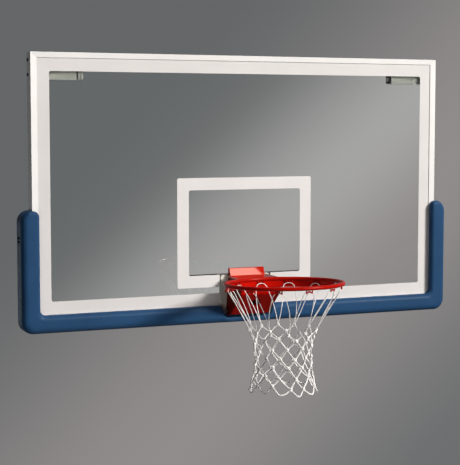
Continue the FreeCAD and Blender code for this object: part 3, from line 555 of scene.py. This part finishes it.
half_cols = columns()
ring_count = len(section)
grid = [[pad_point(col, s, j) for j, s in enumerate(section)] for col in half_cols]
mirror = [[(-x, y, z) for x, y, z in row] for row in reversed(grid[:-1])]
grid = grid + mirror
verts, faces = [], []
for row in grid:
    for x, y, z in row:
        w = noise.noise(Vector((x * 0.011, y * 0.02, z * 0.011)))
        verts.append(P(x, y - 0.25 * w if y < 0 else y, z))
m = ring_count
for i in range(len(grid) - 1):
    for j in range(m):
        k = (j + 1) % m
        faces.append((i * m + j, i * m + k, (i + 1) * m + k, (i + 1) * m + j))
faces.append(tuple(range(m)))
faces.append(tuple((len(grid) - 1) * m + j for j in range(m - 1, -1, -1)))
pad = make("edge_pad", verts, faces, "blue_foam")
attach(pad, "board")
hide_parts("safety_pad")

# ---------------------------------------------------------------- return spring
line = []
turns, per = 7.0, 36
for i in range(int(turns * per) + 1):
    t = i / (turns * per)
    a = 2 * math.pi * turns * t
    # The end coils lie closed, so the pitch is small at both ends.
    e = t - 0.55 * math.sin(4 * math.pi * t) / (4 * math.pi)
    line.append(P(17.25 * math.cos(a), lerp(-84.0 + 2.8, -20.5 - 2.8, e), -82.0 + 17.25 * math.sin(a)))
v, fcs = tube(line, 0.00275, 12)
spring = make("return_spring", v, fcs, "spring_steel")
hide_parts("compression_spring")
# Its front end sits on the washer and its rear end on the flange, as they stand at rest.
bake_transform(spring)

# ---------------------------------------------------------------- stage
fm = Mat("pale_floor")
fm.color(fm.ramp(fm.noise(2.0, 3.0), [(0.3, (0.35, 0.35, 0.345)), (0.7, (0.40, 0.40, 0.395))]))
fm.put(Roughness=0.7)
bpy.ops.mesh.primitive_circle_add(vertices=96, radius=1.9, fill_type="NGON", location=(0, -0.4, GOAL_LEVEL - 3.05))
floor = bpy.context.active_object
floor.name = "floor"
floor.data.materials.append(fm.m)


def area(name, place, target, wide, tall, watts, roll=0.0, color=(1, 1, 1), spread=180.0):
    d = bpy.data.lights.new(name, "AREA")
    d.shape = "RECTANGLE"
    d.size, d.size_y = wide, tall
    d.energy = watts
    d.color = color
    d.spread = math.radians(spread)
    o = bpy.data.objects.new(name, d)
    scene.collection.objects.link(o)
    o.location = place
    q = (Vector(target) - Vector(place)).normalized().to_track_quat("-Z", "Y")
    o.rotation_euler = (q @ Matrix.Rotation(roll, 3, "Z").to_quaternion()).to_euler()
    o.visible_camera = False
    return o


goal = P(0, 0, 0)


def panel(name, middle, normal, edge, wide, tall, watts, color=(1, 1, 1)):
    """Flat lamp that faces back along its normal, with its long side along the given edge direction."""
    d = bpy.data.lights.new(name, "AREA")
    d.shape = "RECTANGLE"
    d.size, d.size_y = wide, tall
    d.energy = watts
    d.color = color
    o = bpy.data.objects.new(name, d)
    scene.collection.objects.link(o)
    zz = Vector(normal).normalized()
    yy = (Vector(edge) - zz * Vector(edge).dot(zz)).normalized()
    xx = yy.cross(zz)
    o.matrix_world = Matrix.Translation(middle) @ Matrix((xx, yy, zz)).transposed().to_4x4()
    o.visible_camera = False
    return o


WARM = (1.0, 0.955, 0.87)
high = panel("key", goal + Vector((6.50, -17.22, 13.28)), (0.404, -0.678, 0.613), (0.645, -0.282, -0.712), 6.40, 7.36, 760.0, WARM)
main = area("side_key", goal + Vector((8.82, -11.15, 7.34)), goal + Vector((0, 0, 0.2)), 2.8, 2.8, 3090.0, color=WARM)
# Both leave out the glass, so that no view shows their mirror images there; a third lamp shines through it on what lies behind.
unlit = bpy.data.collections.new("left_out_by_lamps")
unlit.objects.link(nodes["glass_panel"])
unlit.collection_objects[0].light_linking.link_state = "EXCLUDE"
for lamp in (high, main):
    lamp.light_linking.receiver_collection = unlit
beyond = area("side_key_through", main.location, goal + Vector((0, 0, 0.2)), 2.8, 2.8, 3090.0, color=WARM)
beyond.visible_diffuse = False
beyond.visible_glossy = False
fills = [area("right", goal + Vector((5.2, -4.0, 3.4)), goal + Vector((0.1, 0, 0.1)), 1.3, 1.3, 40.0, color=WARM),
         area("left", goal + Vector((-3.6, -4.2, -1.3)), goal, 1.6, 1.6, 42.0, color=WARM),
         area("back", goal + Vector((1.2, 3.6, 3.8)), goal + Vector((0, 0, 0.3)), 2.0, 2.0, 120.0),
         area("top", goal + Vector((0.6, 1.2, 3.2)), goal, 2.4, 1.6, 40.0),
         area("overhead", goal + Vector((-0.1, -0.35, 3.0)), goal + Vector((0, -0.2, 0)), 1.4, 1.4, 8.0, color=WARM)]
for lamp in fills:      # soft fill: no mirror images of these lamps
    lamp.visible_glossy = False
    lamp.visible_transmission = False
# A dim wide panel, low behind on the left, gives the outer side of the pad its soft shine.
rim = area("rim", goal + Vector((-2.86, 4.6, -0.75)), goal + Vector((-0.96, 0, 0.1)), 4.0, 1.2, 8.6, color=(0.82, 0.95, 1.0))
rim.visible_transmission = False
rim.visible_diffuse = False
rim.light_linking.receiver_collection = unlit

# Backdrop: grey with one soft diagonal band of light, and a dim side towards the court.
right = aim.cross(Vector((0, 0, 1))).normalized()
up = right.cross(aim).normalized()
band = 0.731 * right - 0.683 * up
world = bpy.data.worlds.new("studio")
scene.world = world
world.use_nodes = True
wt = world.node_tree
wt.nodes.clear()


def wnode(kind, **props):
    n = wt.nodes.new(kind)
    for k, val in props.items():
        setattr(n, k, val)
    return n


def lin(v):
    v /= 255.0
    return v / 12.92 if v <= 0.04045 else ((v + 0.055) / 1.055) ** 2.4


coord = wnode("ShaderNodeTexCoord")
direction = wnode("ShaderNodeVectorMath", operation="NORMALIZE")
wt.links.new(coord.outputs["Generated"], direction.inputs[0])


def facing(vec):
    d = wnode("ShaderNodeVectorMath", operation="DOT_PRODUCT")
    wt.links.new(direction.outputs[0], d.inputs[0])
    d.inputs[1].default_value = tuple(vec)
    return d.outputs["Value"]


def remap(sock, a, b, c=0.0, e=1.0, smooth=False):
    r = wnode("ShaderNodeMapRange")
    if smooth:
        r.interpolation_type = "SMOOTHSTEP"
    r.inputs["From Min"].default_value = a
    r.inputs["From Max"].default_value = b
    r.inputs["To Min"].default_value = c
    r.inputs["To Max"].default_value = e
    wt.links.new(sock, r.inputs["Value"])
    return r.outputs["Result"]


def soft_band(vec, start, peak, end, low, high, last):
    """Grey that rises from one side of a diagonal to its middle line and falls again; distances in picture points."""
    rp = wnode("ShaderNodeValToRGB")
    rp.color_ramp.interpolation = "EASE"
    el = rp.color_ramp.elements
    el.new(0.5)
    for e, d, col in zip(el, (start, peak, end), (low, high, last)):
        e.position = (d / 1311.0 + 0.3) / 0.7
        e.color = (*col, 1.0)
    wt.links.new(remap(facing(vec), -0.3, 0.4), rp.inputs["Fac"])
    return rp.outputs["Color"]


grey = soft_band(band, -162.0, 107.0, 312.5, (lin(100.6), lin(103), lin(104)), (lin(144.3), lin(140.2), lin(139.4)),
                 (lin(109), lin(111), lin(111.6)))
# A second, brighter band is seen only through the glass.
pane = 0.677 * right - 0.736 * up
gleam = soft_band(pane, -98.5, 19.0, 128.0, (0.012, 0.014, 0.014), (0.163, 0.165, 0.1635), (0.030, 0.025, 0.024))
path = wnode("ShaderNodeLightPath")
through = wnode("ShaderNodeMix", data_type="RGBA", blend_type="ADD")
wt.links.new(path.outputs["Is Transmission Ray"], through.inputs[0])
wt.links.new(grey, through.inputs[6])
wt.links.new(gleam, through.inputs[7])
whole = wnode("ShaderNodeMix", data_type="RGBA")
whole.inputs[6].default_value = (0.03, 0.031, 0.032, 1.0)
wt.links.new(remap(facing(aim), 0.1, 0.75, 0.0, 1.0, True), whole.inputs[0])
wt.links.new(through.outputs[2], whole.inputs[7])
bg = wnode("ShaderNodeBackground")
wt.links.new(whole.outputs[2], bg.inputs["Color"])
out_node = wnode("ShaderNodeOutputWorld")
wt.links.new(bg.outputs["Background"], out_node.inputs["Surface"])
